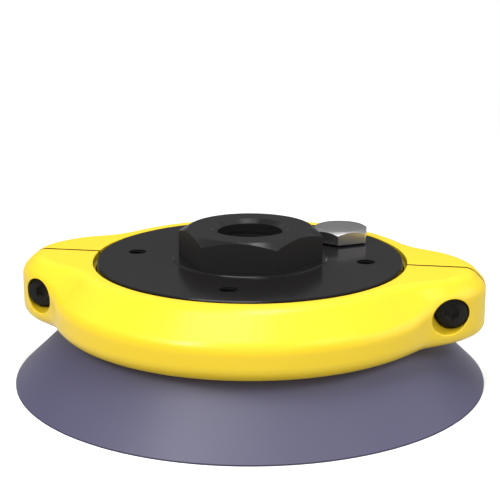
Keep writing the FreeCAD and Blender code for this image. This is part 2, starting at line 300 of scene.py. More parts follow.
plasticGrain = {"driftScale": 30.0, "scale": 1600.0, "strength": 0.04, "height": 0.00002}
yellow = finish("glossyYellowPlastic", plasticGrain, {
    "tones": ((0.92, 0.645, 0.020), (0.94, 0.665, 0.024)),
    "roughness": (0.23, 0.29),
})
yellowPocket = finish("shadedScrewPocket", plasticGrain, {
    "tones": ((0.66, 0.465, 0.014), (0.69, 0.485, 0.016)),
    "roughness": (0.4, 0.5),
    "specular": 0.25,
})
yellowGap = finish("shadedGap", plasticGrain, {
    "tones": ((0.40, 0.300, 0.008), (0.43, 0.320, 0.009)),
    "roughness": (0.5, 0.6),
    "specular": 0.2,
})
yellowSplit = finish("shadedSplitFace", plasticGrain, {
    "tones": ((0.12, 0.090, 0.002), (0.14, 0.103, 0.003)),
    "roughness": (0.6, 0.7),
    "specular": 0.2,
})

anodisedGrain = {"driftScale": 60.0, "scale": 3500.0, "strength": 0.06, "height": 0.00002}
blackAnodised = finish("blackAnodised", anodisedGrain, {
    "tones": ((0.0094, 0.0084, 0.0092), (0.0108, 0.0098, 0.0106)),
    "roughness": (0.16, 0.2),
})
milledBlack = finish("blackAnodisedMilled", anodisedGrain, {
    "tones": ((0.0168, 0.0155, 0.0165), (0.0188, 0.0175, 0.0185)),
    "roughness": (0.5, 0.58),
    "specular": 0.15,
})
darkBore = finish("blackAnodisedBore", anodisedGrain, {
    "tones": ((0.0105, 0.0100, 0.0103), (0.0125, 0.0120, 0.0123)),
    "roughness": (0.6, 0.7),
    "specular": 0.15,
})

steelGrain = {"driftScale": 300.0, "scale": 6000.0, "strength": 0.1, "height": 0.00002}
blackOxide = finish("blackOxideSteel", steelGrain, {
    "tones": ((0.020, 0.020, 0.021), (0.023, 0.023, 0.024)),
    "roughness": (0.36, 0.48),
    "specular": 0.1,
})
# socket walls: black oxide painted lighter than the head, painted light where the socket would lie in shade
socketPaintedLight = finish("socketSteelPaintedLight", steelGrain, {
    "tones": ((0.058, 0.058, 0.059), (0.063, 0.063, 0.064)),
    "roughness": (0.5, 0.6),
    "specular": 0.2,
})

nickelGrain = {"driftScale": 120.0, "scale": 2500.0, "strength": 0.03, "height": 0.00001}
brightNickel = finish("brightNickel", nickelGrain, {
    "tones": ((0.75, 0.74, 0.75), (0.81, 0.80, 0.81)),
    "roughness": (0.3, 0.36),
    "metallic": 1.0,
})

sealGrain = {"driftScale": 200.0, "scale": 6000.0, "strength": 0.15, "height": 0.00002}
blackSeal = finish("blackSealRubber", sealGrain, {
    "tones": ((0.014, 0.014, 0.014), (0.022, 0.022, 0.022)),
    "roughness": (0.6, 0.7),
})

wireGrain = {"driftScale": 250.0, "scale": 5000.0, "strength": 0.08, "height": 0.00001}
stainlessWire = finish("stainlessWire", wireGrain, {
    "tones": ((0.50, 0.50, 0.49), (0.60, 0.60, 0.58)),
    "roughness": (0.24, 0.34),
    "metallic": 1.0,
})
print("finishes made")


# Rubber cup: the lip's outside, the clamped rim and the roof are turned; the inside carries the cleats

cupHigh = nodeBox("suction_cup")[1]
plateLow, plateHigh = nodeBox("fitting_plate")
rimRadius = plateHigh[0]
flankRise = math.tan(math.radians(15.0))      # slope of the clamped faces
cup = {
    "lipEdge": 0.3,
    "lipLand": 0.8,
    "outerRise": math.tan(math.radians(43.6)),
    "innerRise": math.tan(math.radians(38.0)),
    "rimThickness": 3.1,
    "neckHeight": 0.6,
    "opening": 32.5,
    "roof": 8.1,
    "footRound": 0.1,
    "edgeRound": 0.16,
    "neckRound": 0.15,
    "rimFootRound": 0.3,
    "rimTopRound": 0.2,
    "openingRound": 1.0,
    "cleats": 16,
    "cleatHeight": 2.5,
    "cleatHalfWidth": 1.3,
    "cleatInset": 1.0,
    "cleatEnd": 0.7,        # length of the rounded inner end
    "cleatPower": 6.0,      # how square a cleat's section is
    "cleatSteps": 12,
    "endSteps": 6,
    "gapSteps": 8,
    "rootRound": 2.5,
    "rootLead": 3.0,        # flat roof before the root
    "slopeSteps": 8,
}
lipRadius, rimTop = cupHigh[0], cupHigh[2]
lipOutside = lambda radius: cup["lipEdge"] + (lipRadius - radius) * cup["outerRise"]
rimUnderside = lambda radius: rimTop - cup["rimThickness"] - (rimRadius - radius) * flankRise
neckRadius = (lipOutside(0) - rimUnderside(0) + cup["neckHeight"]) / (cup["outerRise"] + flankRise)


def makeCup():
    foot = lipRadius - cup["lipLand"]
    roofBottom = rimTop - cup["roof"]
    start = cup["opening"] + cup["openingRound"]
    root = foot - roofBottom / cup["innerRise"]

    # a cleat's section is a superellipse: sideways sin^(2/p), height cos^(2/p)
    power = 2 / cup["cleatPower"]
    sweep = np.radians(np.linspace(-90, 90, cup["cleatSteps"] + 1))
    sideways = np.sign(sweep) * np.abs(np.sin(sweep)) ** power * cup["cleatHalfWidth"]
    height = np.abs(np.cos(sweep)) ** power
    pitch = 2 * math.pi / cup["cleats"]
    middle = (start + root) / 2
    edge = cup["cleatHalfWidth"] / middle
    gap = np.linspace(edge, pitch - edge, cup["gapSteps"] + 1)[1:-1]
    local = np.concatenate([sideways / middle, gap])
    lift = np.tile(np.concatenate([height, np.zeros(len(gap))]), cup["cleats"])
    columns = (np.arange(cup["cleats"])[:, None] * pitch + pitch / 2 + local).ravel()
    fromCleat = (columns % pitch) - pitch / 2

    outside = roundedPath([
        (foot, 0, 0),
        (lipRadius, 0, cup["footRound"]),
        (lipRadius, cup["lipEdge"], cup["edgeRound"]),
        (neckRadius, lipOutside(neckRadius), cup["neckRound"]),
        (neckRadius, rimUnderside(neckRadius), cup["neckRound"]),
        (rimRadius, rimUnderside(rimRadius), cup["rimFootRound"]),
        (rimRadius, rimTop, cup["rimTopRound"]),
        (cup["opening"], rimTop, cup["rimTopRound"]),
        (cup["opening"], roofBottom, cup["openingRound"]),
        (start, roofBottom, 0),
    ])

    # inside, from the roof opening out to the foot: a cleat hangs down from the roof to one level
    endSweep = np.radians(np.linspace(90, 0, cup["endSteps"] + 1))
    cleatStart = start + cup["cleatInset"]
    endRadius = cleatStart + cup["cleatEnd"] * (1 - np.sin(endSweep) ** power)
    endLift = np.abs(np.cos(endSweep)) ** power
    slope = roundedPath([
        (root - cup["rootLead"], roofBottom, 0),
        (root, roofBottom, cup["rootRound"]),
        (foot, 0, 0),
    ], cup["slopeSteps"])
    lowLevel = roofBottom - cup["cleatHeight"]
    meet = foot - lowLevel / cup["innerRise"]
    lower = np.linspace(meet, foot, cup["slopeSteps"] + 1)
    radius = np.concatenate([[start], endRadius, slope[1:-1, 0], lower])
    radius = np.unique(np.round(radius, 5))
    roof = np.interp(radius, np.append(start, slope[:, 0]), np.append(roofBottom, slope[:, 1]))
    reach = np.interp(radius, endRadius, endLift, left=0.0)
    hang = np.maximum(roof - lowLevel, 0) * reach
    level = roof[:, None] - hang[:, None] * lift[None, :]
    # sides of a cleat stay parallel: angles near it shrink as the radius grows, and in the gaps they even out
    strength = np.interp(radius, [start, cleatStart, meet, foot], [0, 1, 1, 0])[:, None]
    ratio = 1 + strength * (middle / radius[:, None] - 1)
    share = np.clip((pitch / 2 - np.abs(fromCleat)) / (pitch / 2 - edge), 0, 1)
    angles = columns + fromCleat * (ratio - 1) * share
    inside = aroundZ(radius[:, None], level, angles)
    edgeEnd = 2 * (meshing["arcSteps"] + 1)      # last point of the path's arc over the lip's edge
    surfaces = [
        patch(turned(outside[edgeEnd:], columns), closeRows=True),
        patch(inside, closeColumns=True),
    ]
    # the foot and the lip's edge carry the darker tone of painted contact shade
    lipFootShadeSurfaces = [patch(turned(outside[:edgeEnd + 1], columns), closeRows=True)]
    makePiece("rubberCup", "suction_cup", [(moulded, surfaces), (lipFootPaintedShade, lipFootShadeSurfaces)])


makeCup()


# Fitting plate: turned disc and flange, hexagon boss with a threaded bore, four tapped holes and a port

around = 288
firstAngle = math.radians(-30.0)      # between holes, and in the middle of a flat of the hexagon
ringAngles = firstAngle + fullTurn(around)
plugLow, plugHigh = nodeBox("port_plug")
sealLow, sealHigh = nodeBox("plug_seal")
plate = {
    "discRadius": 35.5,
    "edgeChamfer": 0.24,
    "flangeThickness": 3.5,
    "flangeRound": 0.2,
    "collarRadius": 18.0,
    "collarHeight": 0.25,
    "collarChamfer": 0.2,
    "hexWidth": 29.5,
    "hexFace": 14.39,
    "hexCorner": 0.25,
    "softEdge": 0.03,
    "bore": 7.475,
    "boreSink": 1.5,
    "holeCircle": 27.0,
    "holes": 4,
    "hole": 2.067,
    "holeChamfer": 0.05,
    "holeDepth": 4.8,
    "drillRise": math.tan(math.radians(31.0)),
    "port": 4.283,
    "portSink": 0.6,
    "portClearance": 0.1,   # from the thread to the port's mouth
    "pocket": 12.4,
    "pocketTop": 23.1,
    "pocketRound": 0.15,
    "grooveRadius": 13.0,
    "groove": (21.25, 22.35),
    "grooveRound": 0.05,
    "gridStep": 7.0 / 12,
    "holeCells": 6,         # half the window round a tapped hole, in grid steps
    "portCells": 11,
    "rimSteps": 4,
    "pocketSteps": 3,
}
boreThread = {"pitch": 1.337, "depth": 0.856, "runOut": (0.9, 7.0), "steps": 76}
holeThread = {"pitch": 0.8, "depth": 0.43, "runOut": (0.8, 0.4), "steps": 44}
portThread = {"pitch": 0.907, "depth": 0.581, "runOut": (0.6, 0.6), "steps": 50}


def flatWithHoles(height, holes):
    # A flat ring on a polar grid. Round each hole a window is left out, and the ring between window and hole
    # is straight lines from the window's edge to the hole's circle. holes: (angle, cells, radius).
    half = plate["portCells"]
    radius = plate["holeCircle"] + np.arange(-half, half + 1) * plate["gridStep"]
    grid = ringStack(ringAngles, [(one, height) for one in radius])
    parts, windows, loops = [], [], []
    for angle, cells, holeRadius in holes:
        middle = round((angle - firstAngle) / (2 * math.pi) * around)
        window = (half - cells, half + cells, middle - cells, middle + cells)
        edge = windowEdge(grid, window)
        centre = plate["holeCircle"] * np.array([math.cos(angle), math.sin(angle)])
        toEdge = edge[:, :2] - centre
        loop = centre + holeRadius * toEdge / np.linalg.norm(toEdge, axis=1)[:, None]
        mouth = np.column_stack([loop, np.full(len(loop), height)])
        parts.append(patch(np.stack([edge, mouth]), closeColumns=True))
        windows.append(window)
        loops.append((centre, np.arctan2(toEdge[:, 1], toEdge[:, 0])))
    return [patch(grid, closeColumns=True, windows=windows)] + parts, grid, loops


def makePlate():
    topLevel = sealLow[2]
    bottomLevel = plateLow[2]
    hexTop = plateHigh[2]
    flangeTop = bottomLevel + plate["flangeThickness"]
    hole, bore, disc = plate["hole"], plate["bore"], plate["discRadius"]
    mouth = hole + plate["holeChamfer"]
    portMouth = plate["port"] + portThread["depth"] + plate["portClearance"]
    portAngle = math.atan2(plugLow[1] + plugHigh[1], plugLow[0] + plugHigh[0])
    portHole = (portAngle, plate["portCells"], portMouth)
    topHoles = [(angle, plate["holeCells"], mouth) for angle in fullTurn(plate["holes"])]
    patches, topGrid, topLoops = flatWithHoles(topLevel, topHoles + [portHole])
    under, underGrid = flatWithHoles(bottomLevel, [portHole])[:2]
    patches += under
    bores = []

    # tapped holes: countersink, thread, drilled cone
    threadStart = topLevel - plate["holeChamfer"]
    threadEnd = topLevel - plate["holeDepth"]
    tip = threadEnd - hole * plate["drillRise"]
    for centre, angles in topLoops[:-1]:
        surfaces = [
            ringStack(angles, [(mouth, topLevel), (hole, threadStart)]),
            screwSurface(angles, threadStart, threadEnd, hole, holeThread),
            ringStack(angles, [(hole, threadEnd), (0.0, tip)]),
        ]
        bores += [patch(moved(surface, centre), closeColumns=True) for surface in surfaces]

    # port, open at both ends
    centre, angles = topLoops[-1]
    sink = plate["portSink"]
    port = np.concatenate([
        ringStack(angles, [(portMouth, topLevel)]),
        screwSurface(angles, topLevel - sink, bottomLevel + sink, plate["port"], portThread),
        ringStack(angles, [(portMouth, bottomLevel)]),
    ])
    bores.append(patch(moved(port, centre), closeColumns=True))

    # outside, from the top face round the flange to the underside
    gridStart, gridEnd = (underGrid[row, 0, 0] / math.cos(firstAngle) for row in (0, -1))
    rim = roundedPath([
        (gridEnd, topLevel, 0),
        (disc - plate["edgeChamfer"], topLevel, 0),
        (disc, topLevel - plate["edgeChamfer"], 0),
        (disc, flangeTop + (rimRadius - disc) * flankRise, plate["flangeRound"]),
        (rimRadius, flangeTop, plate["flangeRound"]),
        (rimRadius, bottomLevel, plate["flangeRound"]),
        (gridEnd, bottomLevel, 0),
    ], plate["rimSteps"])
    patches.append(patch(turned(rim, ringAngles), closeRows=True))

    # underside: filter pocket with its ring's groove, up to the bore
    low, high = plate["groove"]
    pocket = roundedPath([
        (gridStart, bottomLevel, 0),
        (plate["pocket"], bottomLevel, plate["pocketRound"]),
        (plate["pocket"], low, plate["grooveRound"]),
        (plate["grooveRadius"], low, 0),
        (plate["grooveRadius"], high, 0),
        (plate["pocket"], high, plate["grooveRound"]),
        (plate["pocket"], plate["pocketTop"], 0),
        (bore, plate["pocketTop"], 0),
    ], plate["pocketSteps"])
    patches.append(patch(turned(pocket, ringAngles), closeRows=True))

    # threaded bore
    sinkBottom = hexTop - plate["boreSink"] * coneRise
    thread = screwSurface(ringAngles, plate["pocketTop"], sinkBottom, bore, boreThread)
    bores.append(patch(thread, closeColumns=True))

    # boss: countersink, top face, cone that turns the corners off, hexagon, collar
    sides, outline = hexRing(around, plate["hexWidth"], plate["hexCorner"])
    face, soft = plate["hexFace"], plate["softEdge"]
    shoulder = hexTop - (outline - face) * coneRise
    onCone = np.maximum(outline - soft, face)
    collarTop = topLevel + plate["collarHeight"]
    collar, chamfer = plate["collarRadius"], plate["collarChamfer"]
    sinkRings = ringStack(ringAngles, [(bore, sinkBottom), (bore + plate["boreSink"], hexTop)])
    coneRings = ringStack(sides, [(face, hexTop), (onCone, hexTop - (onCone - face) * coneRise)])
    flatRings = ringStack(sides, [
        (outline, shoulder - soft),
        (outline, (shoulder + collarTop) / 2),
        (outline, collarTop),
    ])
    collarRings = ringStack(ringAngles, [
        (collar - chamfer, collarTop),
        (collar, collarTop - chamfer),
        (collar, topLevel),
    ])
    top = np.concatenate([sinkRings, coneRings])
    step = np.concatenate([flatRings[-1:], collarRings, topGrid[:1]])
    patches += [patch(top, closeColumns=True), patch(step, closeColumns=True)]
    flats = [patch(np.concatenate([coneRings[-1:], flatRings]), closeColumns=True)]
    looks = [(blackAnodised, patches), (milledBlack, flats), (darkBore, bores)]
    makePiece("fittingPlate", "fitting_plate", looks, meshing["sharpFacets"])


makePlate()


# Clamp halves: a ring section carried round the axis that swells into an ear at each end

frontLow, frontHigh = nodeBox("clamp_front_half")
screwLow, screwHigh = nodeBox("clamp_screw_right")
screwCentre = (screwLow + screwHigh) / 2
clamp = {
    "top": frontHigh[2],
    "bottom": frontLow[2] - 0.25,            # the underside lies this much lower than the solid's
    "radius": -frontLow[1],
    "earReach": frontHigh[0],
    "split": -frontHigh[1] + 0.12,           # half the gap between the halves, wider than the solids'
    "chamfer": 6.65,
    "earChamfer": 3.45,
    "earHalfWidth": 11.0,                    # from the screws' middle on X to an ear's straight flank
    "flankAngle": math.radians(49.4),        # the way a flank faces, from X
    "tipBlend": 7.4,
    "rootBlend": 1.2,
    "edgeAngles": np.radians([14.4, 33.0]),  # the edges widen between these angles from X
    "edgeRound": 4.0,
    "bottomRound": 3.3,
    "earBottomRound": 2.3,
    "innerRound": 0.2,
    "plateGap": 0.88,
    "grooveGap": 0.6,
    "grooveRound": 0.2,
    "flankGap": 0.05,
    "lipGap": 0.4,
    "lipLead": 0.4,                          # flat underside outside the cone over the lip
    "tipRound": 0.1,
    "splitRound": 0.04,
    "ledgeDepth": 1.6,                       # a ledge in the gap round the plate
    "ledgeGap": 0.25,
    "ledgeRound": 0.1,
    "mouthRound": 0.3,
    "screwHole": 2.25,
    "counterbore": 3.94,
    "headSeat": 7.0,
    "nutPocket": 7.2,
    "pocketCorner": 0.05,
    "nutSeat": 5.5,
    "rowAngles": (1.4, 8.0, 27.5, 45.0, 90.0),    # degrees from X, between which sections are spread evenly
    "rowSteps": (8, 24, 14, 24),             # sections in each stretch, of which the second carries the hole
    "splitSteps": 5,                         # sections in the rounding of the split edge
    "outsideSteps": 8,                       # on each stretch of a section's outside
    "holeStretches": (2.5, 5.5),             # the stretches that the hole's window spans
    "insideSteps": 5,                        # on each arc of a section's inside
}
bend = math.radians(45.0)      # turn at each end of the sloping edge
tangent = clamp["edgeRound"] * math.tan(bend / 2)      # from such a corner to where its rounding starts


def smoothLeast(first, second, blend):
    # The lesser of two lengths, less a parabola where they differ by under the blend.
    overlap = np.maximum(0, 1 - np.abs(first - second) / blend)
    return np.minimum(first, second) - blend * overlap ** 2 / 4


def earShape(angle):
    # Wall: the flat tip at reach / cos, the straight flank at its own distance / cos of the angle from where
    # it faces, and the ring, each blended into the next. The sloping edge and the lower rounding ease from
    # ear to ring.
    away = np.abs((angle + math.pi / 2) % math.pi - math.pi / 2)
    flankReach = screwCentre[0] * math.cos(clamp["flankAngle"]) + clamp["earHalfWidth"]
    tip = clamp["earReach"] / np.cos(np.minimum(away, 1.0))      # past 1 radian the tip plays no part
    flank = flankReach / np.cos(np.maximum(clamp["flankAngle"] - away, 0))
    ear = smoothLeast(tip, flank, clamp["tipBlend"])
    wall = -smoothLeast(-ear, -clamp["radius"], clamp["rootBlend"])
    near, far = clamp["edgeAngles"]
    share = np.clip((away - near) / (far - near), 0, 1)
    growth = share * share * (3 - 2 * share)
    slope = clamp["earChamfer"] + (clamp["chamfer"] - clamp["earChamfer"]) * growth
    foot = clamp["earBottomRound"] + (clamp["bottomRound"] - clamp["earBottomRound"]) * growth
    return wall, slope, foot


def outsideRadius(angle, height):
    # Radius of the clamp's outside at an angle and a height: bottom arc, wall, arc, then the sloping edge.
    wall, slope, foot = earShape(angle)
    rounding = clamp["edgeRound"]
    wallTop = clamp["top"] - slope - tangent
    slopeEnd = wallTop + rounding * math.sin(bend)
    fromFoot = np.clip(clamp["bottom"] + foot - height, 0, foot)
    fromWall = np.clip(height - wallTop, 0, rounding * math.sin(bend))
    arc = wall - rounding + np.sqrt(rounding ** 2 - fromWall ** 2)
    lower = wall - foot + np.sqrt(foot ** 2 - fromFoot ** 2)
    onSlope = wall + clamp["top"] - slope - height
    return np.where(height > slopeEnd, onSlope, np.where(height > wallTop, arc, lower))


def outsideDepth(across, height):
    # Distance behind the split plane of the ear's outside, seen along Y at (across, height): the angle that
    # gives it is found between 0 and 60 degrees by halving.
    near, far = np.zeros_like(across), np.full_like(across, math.radians(60.0))
    for halving in range(40):
        middle = (near + far) / 2
        inside = outsideRadius(middle, height) * np.cos(middle) > across
        near, far = np.where(inside, middle, near), np.where(inside, far, middle)
    return outsideRadius(near, height) * np.sin(near)


def clampSections(angle):
    # One closed section for each angle, as radius and height arrays: flat top, arc, slope, arc, wall, bottom
    # arc, underside, then the inside that closes on the cup's rim and the plate's flange, with a ledge in the
    # gap above.
    wall, slope, foot = (part[:, None] for part in earShape(angle))
    steps = clamp["outsideSteps"]
    share = np.arange(steps) / steps
    top, bottom, rounding = clamp["top"], clamp["bottom"], clamp["edgeRound"]
    bore = plate["discRadius"] + clamp["plateGap"]
    ledge = plate["discRadius"] + clamp["ledgeGap"]
    ledgeTop = top - clamp["ledgeDepth"]
    flatStart = bore + clamp["innerRound"]
    flatEnd = wall - slope - tangent
    wallTop = top - slope - tangent
    step = tangent * math.cos(bend)
    run = slope - 2 * step
    same = np.zeros_like(wall)
    radius = [
        flatStart + (flatEnd - flatStart) * share,
        flatEnd + rounding * np.sin(bend * share),
        wall - slope + step + run * share,
        wall - rounding + rounding * np.cos(bend * (1 - share)),
        wall + same * share,
        wall - foot + foot * np.cos(2 * bend * share),
    ]
    height = [
        top + same * share,
        top - rounding + rounding * np.cos(bend * share) + same,
        top - step - run * share,
        wallTop + rounding * np.sin(bend * (1 - share)),
        wallTop + (bottom + foot - wallTop) * share,
        bottom + foot - foot * np.sin(2 * bend * share),
    ]
    groove = rimRadius + clamp["grooveGap"]
    tip = neckRadius + clamp["lipGap"]
    flangeTop = plateLow[2] + plate["flangeThickness"]
    underRim = lambda radius: rimUnderside(radius) - clamp["flankGap"]
    aboveFlange = lambda radius: flangeTop + (rimRadius - radius) * flankRise + clamp["flankGap"]
    coneLow = lipRadius - (bottom - cup["lipEdge"]) / cup["outerRise"] + clamp["lipGap"]
    inside = roundedPath([
        (coneLow + clamp["lipLead"], bottom, 0),
        (coneLow, bottom, 0),
        (tip, lipOutside(neckRadius), clamp["tipRound"]),
        (tip, underRim(tip), clamp["tipRound"]),
        (groove, underRim(groove), clamp["grooveRound"]),
        (groove, aboveFlange(groove), clamp["grooveRound"]),
        (ledge, aboveFlange(ledge), clamp["ledgeRound"]),
        (ledge, ledgeTop, clamp["ledgeRound"]),
        (bore, ledgeTop, clamp["innerRound"]),
        (bore, top, clamp["innerRound"]),
        (flatStart + meshing["seam"], top, 0),
    ], clamp["insideSteps"])[:-2]
    ones = np.ones_like(wall)
    sectionRadius = np.hstack(radius + [wall - foot, ones * inside[:, 0]])
    sectionHeight = np.hstack(height + [ones * bottom, ones * inside[:, 1]])
    outer = np.hstack([np.ones(steps * len(radius)), np.zeros(1 + len(inside))])
    return sectionRadius, sectionHeight, outer


def clampGrid():
    # Rows of sections from a split face to the half's middle. The first rows round the split edge: a quarter
    # circle sets their distance from the split plane and how far the section shrinks.
    quarter = np.radians(np.linspace(0, 90, clamp["splitSteps"] + 1))
    distance = clamp["split"] + clamp["splitRound"] * (1 - np.cos(quarter))
    shrink = clamp["splitRound"] * (1 - np.sin(quarter))
    stops = clamp["rowAngles"]
    stretches = zip(stops, stops[1:], clamp["rowSteps"])
    rowAngles = [np.linspace(low, high, steps, endpoint=False) for low, high, steps in stretches]
    toMiddle = np.radians(np.concatenate(rowAngles + [stops[-1:]]))
    angle = np.concatenate([np.arcsin(distance / clamp["earReach"]), toMiddle])
    radius, height, outer = clampSections(angle)
    along = np.stack([np.roll(one, -1, 1) - np.roll(one, 1, 1) for one in (radius, height)], -1)
    along /= np.linalg.norm(along, axis=-1, keepdims=True)
    rows = len(quarter)
    inset = shrink[:, None] * outer
    radius[:rows] += along[:rows, :, 1] * inset
    height[:rows] -= along[:rows, :, 0] * inset
    turn = np.broadcast_to(angle[:, None], radius.shape).copy()
    turn[:rows] = np.arcsin(distance[:, None] / radius[:rows])
    grid = aroundZ(radius, height, -turn)
    firstRow = rows + clamp["rowSteps"][0]
    return grid, (firstRow, firstRow + clamp["rowSteps"][1])


def holeInEar(edge, outlineRadius, seat):
    # A pocket from the ear's outside to its seat, then the screw's hole to the split face. Straight lines run
    # from the window's edge to the mouth on the ear's surface, and a quadratic Bezier rolls them over the
    # mouth's edge. Gives the part outside the pocket, and the pocket with the hole.
    count = len(edge)
    centre = np.array([screwCentre[0], screwCentre[2]])
    flat = edge[:, [0, 2]]
    toEdge = flat - centre
    spread = np.unwrap(np.arctan2(toEdge[:, 1], toEdge[:, 0]))
    stepAngle = 2 * math.pi / count * np.sign(spread[-1] - spread[0])
    angles = round(spread[0] / abs(stepAngle)) * abs(stepAngle) + stepAngle * np.arange(count)
    direction = np.column_stack([np.cos(angles), np.sin(angles)])
    wall = outlineRadius(angles)[:, None]
    onWall = centre + direction * wall
    mouth = centre + direction * (wall + clamp["mouthRound"])
    at = lambda spot, depth: np.column_stack([spot[:, 0], -depth, spot[:, 1]])
    onSurface = lambda spot: at(spot, outsideDepth(spot[:, 0], spot[:, 1]))
    quarters = (0.25, 0.5, 0.75, 1.0)
    loops = [edge] + [onSurface(flat + (mouth - flat) * share) for share in quarters]
    edgeDepth = outsideDepth(onWall[:, 0], onWall[:, 1])
    start, end = loops[-1], at(onWall, edgeDepth - clamp["mouthRound"])
    turnPoint = at(onWall, edgeDepth)
    for share in quarters:
        rest = 1 - share
        loops.append(rest ** 2 * start + 2 * rest * share * turnPoint + share ** 2 * end)
    seatDepth = np.full(count, seat)
    screwHole = centre + direction * clamp["screwHole"]
    pocket = [
        loops[-1],
        at(onWall, (edgeDepth + seat) / 2),
        at(onWall, seatDepth),
        at(screwHole, seatDepth),
        at(screwHole, np.full(count, clamp["split"])),
    ]
    return np.stack(loops), np.stack(pocket)


def makeClampHalf(name, node, outlineRadius, seat, flip):
    # Sections from the split face to the half's middle, with a hole in the ear, and their mirror image.
    grid, windowRows = clampGrid()
    firstColumn, lastColumn = (int(one * clamp["outsideSteps"]) for one in clamp["holeStretches"])
    edge = windowEdge(grid, (*windowRows, firstColumn, lastColumn))
    rolled, pocket = holeInEar(edge, outlineRadius, seat)
    # the last arc of a section, less its end, rolls over the inner edge, and three arcs before it line the
    # gap round the plate
    arcPoints = clamp["insideSteps"]
    edgeStart = grid.shape[1] - arcPoints
    liningStart = edgeStart - 3 * (arcPoints + 1)
    outside = np.concatenate([grid[:, edgeStart:], grid[:, :liningStart + 1]], 1)
    window = (*windowRows, arcPoints + firstColumn, arcPoints + lastColumn)
    outer = [patch(outside, windows=[window]), patch(rolled, closeColumns=True)]
    lining = patch(grid[:, liningStart:edgeStart + 1])
    turn = np.array([-1.0, -1.0, 1.0]) if flip else np.ones(3)
    mirror = turn * np.array([-1.0, 1.0, 1.0])
    bothEnds = lambda parts: [(points * way, faces) for way in (turn, mirror) for points, faces in parts]
    looks = [
        (yellow, bothEnds(outer)),
        (yellowPocket, bothEnds([patch(pocket, closeColumns=True)])),
        (yellowGap, bothEnds([lining])),
        (yellowSplit, bothEnds([flatCap(grid[0], pocket[-1])])),
    ]
    makePiece(name, node, looks)


roundMouth = lambda angles: np.full_like(angles, clamp["counterbore"])
hexMouth = lambda angles: hexRadius(angles, clamp["nutPocket"], clamp["pocketCorner"])
makeClampHalf("clampFrontHalf", "clamp_front_half", roundMouth, clamp["headSeat"], False)
makeClampHalf("clampRearHalf", "clamp_rear_half", hexMouth, clamp["nutSeat"], True)


# Clamp screws and nuts, made along Z and then laid along Y

fastener = {
    "shank": 2.0,
    "plainLength": 1.5,      # shank under the head that has no thread
    "endChamfer": 0.4,
    "headRadius": 3.5,
    "headHeight": 4.0,
    "headRound": 0.4,
    "headFace": 2.25,        # where the head's flat face starts
    "seatRound": 0.1,
    "neckRound": 0.15,
    "socket": 3.0,
    "socketCorner": 0.04,
    "socketDepth": 2.0,
    "socketSink": 0.15,
    "socketSoft": 0.05,
    "socketFloor": 0.98,     # the floor's share of the socket's width
    "nutWidth": 7.0,
    "nutCorner": 0.1,
    "nutFace": 3.3,
    "nutSink": 0.3,
    "nutClearance": 0.04,
    "count": 96,
}
boltThread = {"pitch": 0.7, "depth": -0.4, "runOut": (0.5, 0.5), "steps": 110}
nutThread = {"pitch": 0.7, "depth": 0.36, "runOut": (0.3, 0.3), "steps": 26}


def laidAlong(surfaces, low, high):
    # Patches in a box: local Z runs into the clamp along Y from the box's front, and local Y points down.
    centre = (low + high) / 2
    patches = []
    for points in surfaces:
        x, y, z = points[..., 0], points[..., 1], points[..., 2]
        laid = np.stack([centre[0] + x, low[1] + z, centre[2] - y], -1)
        patches.append(patch(laid, closeColumns=True))
    return patches


def makeScrew(name, node):
    # Rings from the socket's tip over the head to the thread, and then the end.
    low, high = nodeBox(node)
    angles = fullTurn(fastener["count"])
    shank, radius, seat = fastener["shank"], fastener["headRadius"], fastener["headHeight"]
    socket = hexRadius(angles, fastener["socket"], fastener["socketCorner"], math.pi / 6)
    depth, sink = fastener["socketDepth"], fastener["socketSink"]
    key = ringStack(angles, [
        (0.0, depth + fastener["socket"] / 2 * coneRise),
        (socket * fastener["socketFloor"], depth),
        (socket, depth - fastener["socketSoft"]),
        (socket, sink),
    ])
    length = high[1] - low[1]
    threadStart = seat + fastener["plainLength"]
    threadEnd = length - fastener["endChamfer"]
    head = roundedPath([
        (fastener["headFace"], 0, 0),
        (radius, 0, fastener["headRound"]),
        (radius, seat, fastener["seatRound"]),
        (shank, seat, fastener["neckRound"]),
        (shank, threadStart, 0),
    ])
    surfaces = [
        ringStack(angles, [(socket, sink), (socket + sink, 0.0), *head]),
        screwSurface(angles, threadStart, threadEnd, shank, boltThread),
        ringStack(angles, [(shank, threadEnd), (shank - fastener["endChamfer"], length), (0.0, length)]),
    ]
    # the socket carries the lighter tone of painted light
    looks = [(blackOxide, laidAlong(surfaces, low, high)), (socketPaintedLight, laidAlong([key], low, high))]
    makePiece(name, node, looks)


def makeNut(name, node):
    # A hexagonal bar with both faces' corners turned off by a cone, and a countersunk thread.
    low, high = nodeBox(node)
    angles, outline = hexRing(fastener["count"], fastener["nutWidth"], fastener["nutCorner"])
    face = fastener["nutFace"]
    drop = (outline - face) * coneRise
    thick = high[1] - low[1]
    core = fastener["shank"] + fastener["nutClearance"]
    sink = fastener["nutSink"]
    outside = ringStack(angles, [
        (core, sink),
        (core + sink, 0.0),
        (face, 0.0),
        (outline, drop),
        (outline, thick - drop),
        (face, thick),
        (core + sink, thick),
        (core, thick - sink),
    ])
    surfaces = [outside, screwSurface(angles, sink, thick - sink, core, nutThread)]
    makePiece(name, node, [(blackOxide, laidAlong(surfaces, low, high))])


for side in ("left", "right"):
    makeScrew("clampScrew" + side.capitalize(), "clamp_screw_" + side)
    makeNut("clampNut" + side.capitalize(), "clamp_nut_" + side)


# Plug in the port, and the seal under its head

plug = {
    "width": 12.6,
    "face": 5.9,
    "headHeight": 3.1,
    "turn": math.radians(32.0),
    "corner": 0.12,
    "softEdge": 0.06,
    "shank": 4.243,
    "endChamfer": 0.7,
    "count": 192,
    "sealWidth": 1.35,
    "sealRound": 0.12,
    "sealCount": 120,
}


